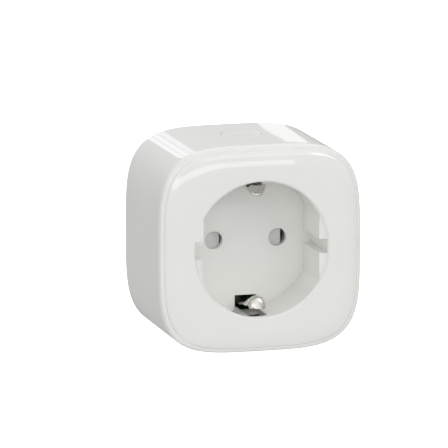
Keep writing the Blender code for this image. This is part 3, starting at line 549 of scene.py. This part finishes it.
def softened(edge):
    """Whether an edge of a flat, at the ledge or at the guide groove, is rounded."""
    a, b = (vert.co for vert in edge.verts)
    if not (near(abs(a.x), FLAT_X) and near(abs(b.x), FLAT_X)):
        return False
    level = FRONT - LEDGE
    inside = max(a.xy.length, b.xy.length) < RECESS_RADIUS + 0.01 * MM
    at_ledge = inside and near(a.z, level) and near(b.z, level)
    at_groove = near(abs(a.y), GUIDE_HALF) and near(abs(b.y), GUIDE_HALF) and abs(a.z - b.z) > MM
    return (at_ledge or at_groove) and edge.is_manifold and edge.calc_face_angle() > 0.5


def front_cover():
    """The face with the socket recess, its slots, pin holes and bored posts."""
    back = FLOOR - FLOOR_WALL
    well, groove = recess_well()
    tools = [recess_mouth(), well, groove]
    for side in (-1, 1):
        for half, outer, start, end in (
            (EARTH_SLOT_HALF, EARTH_SLOT_OUTER, back - GAP, FLOOR),
            (POCKET_HALF, EARTH_SLOT_OUTER, FLOOR - GAP, FRONT - POCKET_FRONT),
            (
                POCKET_HALF,
                RECESS_RADIUS + TUBE_WALL + GAP,
                FRONT - OPENING_BACK,
                FRONT - OPENING_FRONT,
            ),
        ):
            low_y, high_y = sorted((side * EARTH_SLOT_INNER, side * outer))
            tools.append(block((-half, low_y, start), (half, high_y, end)))
    tools += [drum(PIN_HOLE, back - GAP, FLOOR + GAP, (x, 0)) for x in PINS]
    tools += [
        drum(SCREW_BORE, REAR, REAR + POST_BORE_DEPTH, place, 24) for place in SCREW_PLACES
    ]
    cover = carved(cover_blank(back), tools)
    rounded(cover, LIP, [e for e in cover.edges if softened(e)], segments=4)
    piece("cover", cover, "white_gloss_plastic", "housing", "front_cover")


# ---- body ----
def body_shell():
    """The housing behind the seam, with holes for the boss, the screws and the button."""
    inner = HALF - WALL
    back = HALF - REAR_TAPER
    stations = [
        (inner, REAR + WALL),
        (inner, SEAM - GAP),
        (HALF - 0.25 * MM, SEAM - GAP),
        (HALF - 0.08 * MM, SEAM - GAP - 0.06 * MM),
        (HALF, SEAM - GAP - 0.25 * MM),
    ]
    for i in range(1, 12):
        share = i / 12
        stations.append((HALF + (back - HALF) * share, SEAM + (REAR - SEAM) * share))
    for i in range(7):
        turn = math.pi / 2 * i / 6
        side = back - REAR_ROUND * (1 - math.cos(turn))
        stations.append((side, REAR + REAR_ROUND * (1 - math.sin(turn))))
    shell = swept(rounded_square, stations)
    tools = [drum(BOSS_OPENING, REAR - GAP, REAR + WALL + GAP, segments=160)]
    for place in SCREW_PLACES:
        tools.append(drum(SCREW_BORE, REAR - GAP, REAR + WALL + GAP, place, 24))
        tools.append(drum(SCREW_HEAD_HOLE, REAR - GAP, REAR + SCREW_HEAD_DEPTH, place, 48))
    button_low, button_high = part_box("button_cap")
    centre = -(button_low.y + button_high.y) / 2
    hole = drum(BUTTON_HOLE, -2 * WALL, 2 * WALL, segments=96)
    turn = Matrix.Translation((0, HALF, centre)) @ Matrix.Rotation(math.pi / 2, 4, "X")
    bmesh.ops.transform(hole, matrix=turn, verts=hole.verts)
    tools.append(hole)
    shell = carved(shell, tools)
    piece("shell", shell, "white_gloss_plastic", "housing", "body_shell")


def button_cap():
    """The push button: a stem, a flange that keeps it in, and a slightly dished top."""
    low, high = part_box("button_cap")
    radius = 5.8 * MM
    flange = radius + 1.1 * MM
    stem = 2.1 * MM
    top = high.z
    flange_top = low.z + 1.5 * MM
    flange_low = low.z + 0.6 * MM
    stations = [
        (stem, low.z),
        (stem, flange_low),
        (flange, flange_low),
        (flange, flange_top),
        (radius, flange_top),
        (radius, top - 0.22 * MM),
        (radius - 0.03 * MM, top - 0.12 * MM),
        (radius - 0.12 * MM, top - 0.03 * MM),
        (radius - 0.3 * MM, top),
        (radius - 1.0 * MM, top),
        (radius - 2.2 * MM, top - 0.03 * MM),
        (radius - 3.8 * MM, top - 0.05 * MM),
        (0.4 * MM, top - 0.06 * MM),
    ]
    cap = turned(stations, 96)
    place = Matrix.Translation((0, (low.y + high.y) / 2, 0))
    piece("push_button", cap, "white_gloss_plastic", "button", "button_cap", place=place)


# ---- the visible metal of the socket ----
def strip(path, thickness, across=5, wing=0.0, middle=0.0, reach=1.0, limit=0.0):
    """A strip along a path of (place along Y, height, half width).

    With a wing, its sides fold up by that much at the middle place, less towards either side of it
    and not at all past the reach. The fold stops at the limit, which leaves the path itself alone.
    """
    bm = bmesh.new()
    row = [bm.verts.new((i, 0, 0)) for i in range(across)]
    edges = [bm.edges.new(pair) for pair in zip(row, row[1:])]
    for index, (y, z, half) in enumerate(path):
        if index:
            verts, edges = extruded(bm, edges)
            row = sorted(verts, key=lambda v: v.co.x)
        share = max(0, 1 - ((y - middle) / reach) ** 2)
        for i, vert in enumerate(row):
            side = -1 + 2 * i / (across - 1)
            fold = wing * share * (0.6 * abs(side) ** 2.4 + 0.4 * abs(side) ** 9)
            vert.co = (side * half, y, max(z, min(z + fold, limit)))
    bmesh.ops.recalc_face_normals(bm, faces=bm.faces)
    bmesh.ops.solidify(bm, geom=bm.faces[:], thickness=thickness)
    bmesh.ops.recalc_face_normals(bm, faces=bm.faces)
    return bm


def top_and_bottom(make, ending, slot, bodies, node):
    """Makes a piece above the middle and its mirror image below."""
    for name, side, body in zip(("top", "bottom"), (1, -1), bodies):
        bm = make()
        if side < 0:
            bmesh.ops.scale(bm, vec=(1, 1, -1), verts=bm.verts)
        piece(f"{name}_{ending}", bm, slot, body, f"{node}_{name}", place=Matrix())


def earth_clips():
    """The two earth clips: a foot, a stem through the floor and a winged nose."""
    foot_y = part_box("earth_clip_top")[1].y - 0.3 * MM
    height = 18.9 * MM
    nose = 15.2 * MM
    tip = 18.1 * MM
    nose_y = -FRONT + 5.8 * MM
    path = [
        (foot_y, nose, 1.5 * MM),
        (foot_y, height - 0.8 * MM, 1.8 * MM),
        (foot_y - 0.8 * MM, height, 2.0 * MM),
        (-FLOOR - 1.5 * MM, height, 2.2 * MM),
        (nose_y + 2.6 * MM, nose + 0.7 * MM, 2.1 * MM),
        (nose_y + 1.0 * MM, nose, 2.0 * MM),
        (nose_y, nose, 2.0 * MM),
        (nose_y - 0.5 * MM, nose + 0.6 * MM, 2.0 * MM),
        (nose_y - 0.9 * MM, tip, 1.9 * MM),
    ]
    line = [tuple(p) for p in path[:1] + eased(path[1:], 5)]
    top_and_bottom(
        lambda: strip(line, 0.6 * MM, 19, 2.2 * MM, nose_y, 7 * MM, tip),
        "earth_spring",
        "nickel_plate",
        ("top_clip", "bottom_clip"),
        "earth_clip",
    )


def shutter():
    """The child-safety slide, whose windows line up with the pin holes when it is pushed aside."""
    low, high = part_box("shutter_slider")
    back = -high.y
    front = -low.y
    half = high.z
    plate = block((low.x, -half, back), (high.x, half, front), 0.25 * MM)
    windows = [(-7.3 * MM, -1.65 * MM), (11.0 * MM, 17.35 * MM)]
    window_half = 2.95 * MM
    tools = [
        block((start, -window_half, back - GAP), (end, window_half, front + GAP))
        for start, end in windows
    ]
    plate = carved(plate, tools)
    piece("shutter_plate", plate, "shutter_plastic", "shutter", "shutter_slider")


# ---- plug side ----
def plug_boss():
    """The hollow plug body, with its flats, guide grooves and channels for the earth strips."""
    top = -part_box("plug_boss")[0].y
    flange_low = top - BOSS_FLANGE_THICKNESS
    stations = [
        (BOSS_FLANGE, top),
        (BOSS_FLANGE, flange_low),
        (BOSS_RADIUS, flange_low),
        (BOSS_RADIUS, 0.7 * MM),
        (BOSS_RADIUS - 0.1 * MM, 0.35 * MM),
        (BOSS_RADIUS - 0.3 * MM, 0.12 * MM),
        (BOSS_RADIUS - 0.6 * MM, 0.0),
    ]
    boss = turned(stations, 160)
    boss = carved(boss, [drum(BOSS_HOLLOW, BOSS_END_WALL, top + GAP, segments=96)])
    sleeve_low = BOSS_END_WALL / 2
    sleeves = [drum(PIN_SLEEVE, sleeve_low, PIN_SLEEVE_TOP, (x, 0), 48) for x in PINS]
    boss = joined(boss, sleeves)
    tools = [drum(PIN_BORE, -GAP, PIN_FLANGE_SEAT, (x, 0), 48) for x in PINS]
    for side in (-1, 1):
        for inner, half, low in (
            (BOSS_FLAT, BOSS_RADIUS, -GAP),
            (BOSS_GROOVE, BOSS_GROOVE_HALF, -2 * GAP),
        ):
            start, end = sorted((side * inner, side * BOSS_CUT_OUTER))
            tools.append(block((start, -half, low), (end, half, BOSS_CUT_TOP)))
        for outer, half, low, high in (
            (BOSS_CUT_OUTER, STRIP_CHANNEL_HALF, -2 * GAP, STRIP_CHANNEL_TOP),
            (STRIP_SLOT_OUTER, STRIP_SLOT_HALF, STRIP_SLOT_LOW, top + GAP),
        ):
            start, end = sorted((side * STRIP_CHANNEL, side * outer))
            tools.append(block((-half, start, low), (half, end, high)))
    boss = carved(boss, tools)
    piece("plug_barrel", boss, "white_matt_plastic", "housing", "plug_boss")


def plug_pins():
    """Turned pins with domed tips, bright from their plating."""
    radius = 2.4 * MM
    tip = -19.0 * MM
    dome = 1.8 * MM
    tail, tail_top = 1.5 * MM, 16.8 * MM
    flange, flange_top = 3.2 * MM, 13.5 * MM
    stations = [(tail, tail_top), (tail, flange_top), (flange, flange_top)]
    stations += [(flange, PIN_FLANGE_SEAT), (radius, PIN_FLANGE_SEAT), (radius, tip + dome)]
    # The dome ends in a small flat, so its last ring is not a point.
    for i in range(1, 9):
        turn = math.pi / 2 * i / 8.4
        stations.append((radius * math.cos(turn), tip + dome * (1 - math.sin(turn))))
    for name, x in zip(POLES, PINS):
        bm = turned(stations, 64)
        bmesh.ops.translate(bm, vec=(x, 0, 0), verts=bm.verts)
        piece(f"{name}_pin", bm, "nickel_plate", "housing", f"plug_pin_{name}")


def rear_earth_strips():
    """The two sprung earth strips in the boss, each bowed outwards in the middle of its length."""
    height = 17.2 * MM
    half = 1.6 * MM
    crest = height + 1.3 * MM
    flank = height + 0.39 * MM
    end_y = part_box("rear_earth_top")[0].y
    path = [
        (-2.0 * MM, height, half),
        (-4.5 * MM, flank, half),
        (-9.0 * MM, crest, half),
        (-13.5 * MM, flank, half),
        (-16.0 * MM, height, half),
        (end_y, height, half),
    ]
    line = [tuple(p) for p in eased(path, 6)]
    top_and_bottom(
        lambda: strip(line, 0.8 * MM),
        "earth_strip",
        "nickel_plate",
        ("housing", "housing"),
        "rear_earth",
    )


def case_screws():
    """Pan heads with a cross recess, sunk in the rear face."""
    for number in range(1, 5):
        low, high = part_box(f"case_screw_{number}")
        middle = (low + high) / 2
        head = -high.y
        seat = head + 0.8 * MM
        shank = 1.3 * MM
        stations = [(0.5 * MM, -low.y), (shank, -low.y - shank), (shank, seat)]
        stations += [(2.5 * MM, seat), (2.5 * MM, head + 0.4 * MM), (2.35 * MM, head + 0.2 * MM)]
        stations += [(2.0 * MM, head + 0.05 * MM), (1.6 * MM, head)]
        screw = turned(stations, 48)
        arm, half = 1.4 * MM, 0.22 * MM
        cross_bottom = head + 0.45 * MM
        tools = [
            block((-arm, -half, head - MM), (arm, half, cross_bottom)),
            block((-half, -arm, head - MM), (half, arm, cross_bottom)),
        ]
        screw = carved(screw, tools)
        bmesh.ops.translate(screw, vec=(middle.x, middle.z, 0), verts=screw.verts)
        piece(f"rear_screw_{number}", screw, "screw_steel", "housing", f"case_screw_{number}")


def return_spring():
    """The shutter's coil spring, drawn at its resting length; the real spring shortens to 57 %
    when the shutter is fully pushed aside.
    """
    low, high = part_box("shutter_spring")
    turns = 9
    steps = 24
    wire = 0.2 * MM
    radius = 0.7 * MM
    middle = (low + high) / 2
    bm = bmesh.new()
    ring = bmesh.ops.create_circle(
        bm,
        segments=10,
        radius=wire,
        matrix=Matrix.Translation((0, radius, 0)) @ Matrix.Rotation(math.pi / 2, 4, "Y"),
    )["verts"]
    length = high.x - low.x - 2 * wire
    bmesh.ops.spin(
        bm,
        geom=ring + bm.edges[:],
        cent=(0, 0, 0),
        axis=(1, 0, 0),
        dvec=(length / (turns * steps), 0, 0),
        angle=turns * 2 * math.pi,
        steps=turns * steps,
        use_merge=False,
    )
    bmesh.ops.holes_fill(bm, edges=bm.edges[:])
    place = Matrix.Translation((low.x + wire, middle.y, middle.z))
    spring = piece(
        "shutter_coil", bm, "spring_steel", "housing", "shutter_spring", place=place, smooth=60
    )
    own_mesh(spring)


front_cover()
body_shell()
button_cap()
earth_clips()
shutter()
plug_boss()
plug_pins()
rear_earth_strips()
case_screws()
return_spring()

# The remaining pieces keep their CAD shape.
for row in frame["record"]["subparts"]:
    node = frame["nodes"][row["node"]]
    if not node.hide_render:
        node.data.materials.clear()
        node.data.materials.append(FINISHES[row["material_slot"]])


# ---- studio ----
def direction(azimuth, elevation):
    """A unit vector: azimuth 0 looks out of the socket along -Y and turns towards +X."""
    a, e = math.radians(azimuth), math.radians(elevation)
    return Vector((math.sin(a) * math.cos(e), -math.cos(a) * math.cos(e), math.sin(e)))


LIGHT_DISTANCE = 1.5
LIGHT_CENTRE = Vector((0, -40 * MM, 0))


def softbox(name, azimuth, elevation, wide, tall, brightness, tint="#FFFFFF"):
    """An area light that covers the given angles, in degrees, as seen from the object."""
    data = bpy.data.lights.new(name, "AREA")
    data.shape = "RECTANGLE"
    data.size = 2 * LIGHT_DISTANCE * math.tan(math.radians(wide / 2))
    data.size_y = 2 * LIGHT_DISTANCE * math.tan(math.radians(tall / 2))
    data.energy = brightness * math.pi * data.size * data.size_y
    data.color = colour(tint)[:3]
    lamp = bpy.data.objects.new(name, data)
    out = direction(azimuth, elevation)
    lamp.location = out * LIGHT_DISTANCE + LIGHT_CENTRE
    lamp.rotation_euler = out.to_track_quat("Z", "Y").to_euler()
    lamp.visible_camera = False
    bpy.context.scene.collection.objects.link(lamp)


# Three tubes behind the object give the bright bars beside its top left corner. The boxes ahead of
# it light the face and the recess, and the rest fill in the sides.
for offset, glow in ((-4.1, 0.95), (0.0, 0.85), (4.1, 0.6)):
    softbox("rear_tube", 178.2 - offset, 19, 3.3, 11, glow, "#F6FBFF")
softbox("rear_side", 162.0, 6, 2.4, 8, 0.5)
softbox("front_wide", -4, 3.8, 42, 8, 2.2)
softbox("front_left", -19, 9, 14, 7, 2.2)
softbox("front_high", 14, 22, 50, 4, 1.6)
softbox("key_low", 33, 22, 18, 7, 5.0)
softbox("key_high", 36, 48, 26, 22, 1.7)
softbox("rear_high", 180, 48, 60, 30, 0.8)
softbox("left_low", -63, -10, 18, 20, 2.4)
softbox("left_fill", -44, 34, 30, 24, 0.6)
softbox("below", -10, -72, 60, 10, 2.4)


def studio_light():
    """An even pale room, brighter overhead than below, and brightest ahead of and behind it."""
    world = bpy.data.worlds.new("pale_room")
    world.use_nodes = True
    bpy.context.scene.world = world
    tree = world.node_tree
    place = add_node(tree, "ShaderNodeTexCoord")
    along = add_node(tree, "ShaderNodeSeparateXYZ", {"Vector": place.outputs["Generated"]})
    height = add_node(
        tree,
        "ShaderNodeMapRange",
        {"Value": along.outputs["Z"], "From Min": -1.0, "From Max": 1.0},
    )
    ramp = add_node(tree, "ShaderNodeValToRGB", {"Fac": height.outputs["Result"]})
    shades = ((0.0, 0.36), (0.42, 0.33), (0.5, 0.42), (0.6, 0.5), (0.8, 0.55), (1.0, 0.6))
    ramp.color_ramp.elements.remove(ramp.color_ramp.elements[1])
    for index, (at, shade) in enumerate(shades):
        stop = ramp.color_ramp.elements[0] if index == 0 else ramp.color_ramp.elements.new(at)
        stop.position = at
        stop.color = (shade, shade, shade, 1.0)
    depth = add_node(tree, "ShaderNodeMath", {0: along.outputs["Y"]}, operation="ABSOLUTE")
    ahead = add_node(
        tree,
        "ShaderNodeMapRange",
        {"Value": depth.outputs["Value"], "To Min": 1.0, "To Max": 1.34},
    )
    room = tree.nodes["Background"]
    tree.links.new(ramp.outputs["Color"], room.inputs["Color"])
    tree.links.new(ahead.outputs["Result"], room.inputs["Strength"])
    # Behind the object the room is plain white, whatever lights it.
    white = add_node(tree, "ShaderNodeBackground", {"Color": (1, 1, 1, 1)})
    ray = add_node(tree, "ShaderNodeLightPath")
    shown = add_node(
        tree,
        "ShaderNodeMixShader",
        {0: ray.outputs["Is Camera Ray"], 1: room.outputs[0], 2: white.outputs[0]},
    )
    tree.links.new(shown.outputs[0], tree.nodes["World Output"].inputs["Surface"])


def studio_floor():
    """A white sheet just under the object, which the camera sees and which lights nothing."""
    bm = bmesh.new()
    bmesh.ops.create_grid(bm, size=4.0, matrix=Matrix.Translation((0, 0, -HALF - 0.2 * MM)))
    floor = loose_object(bm, "studio_floor")
    paper = bpy.data.materials.new("white_paper")
    paper.use_nodes = True
    surface = paper.node_tree.nodes["Principled BSDF"]
    surface.inputs["Base Color"].default_value = colour("#FFFFFF")
    surface.inputs["Emission Color"].default_value = colour("#FFFFFF")
    surface.inputs["Emission Strength"].default_value = 1.0
    floor.data.materials.append(paper)
    floor.visible_glossy = False
    floor.visible_diffuse = False
    floor.visible_shadow = False


def camera_view():
    """The camera: from the left and above, far off, with a long lens."""
    azimuth, elevation = -15.9, 11.0
    distance = 2.349
    aim_left, aim_up = 10.945 * MM, 7.436 * MM
    back = direction(azimuth, elevation)
    turn = math.radians(azimuth)
    right = Vector((math.cos(turn), math.sin(turn), 0))
    up = back.cross(right)
    aim = Vector((0, -FRONT, 0)) - right * aim_left + up * aim_up
    data = bpy.data.cameras.new("view")
    data.sensor_width = 36
    data.lens = 661.3
    data.clip_start = 0.01
    data.clip_end = 100
    camera = bpy.data.objects.new("view", data)
    camera.location = aim + back * distance
    camera.rotation_mode = "QUATERNION"
    camera.rotation_quaternion = back.to_track_quat("Z", "Y")
    bpy.context.scene.collection.objects.link(camera)
    bpy.context.scene.camera = camera


studio_light()
studio_floor()
camera_view()
bpy.context.scene.view_settings.view_transform = "Standard"
bpy.context.scene.cycles.use_denoising = True
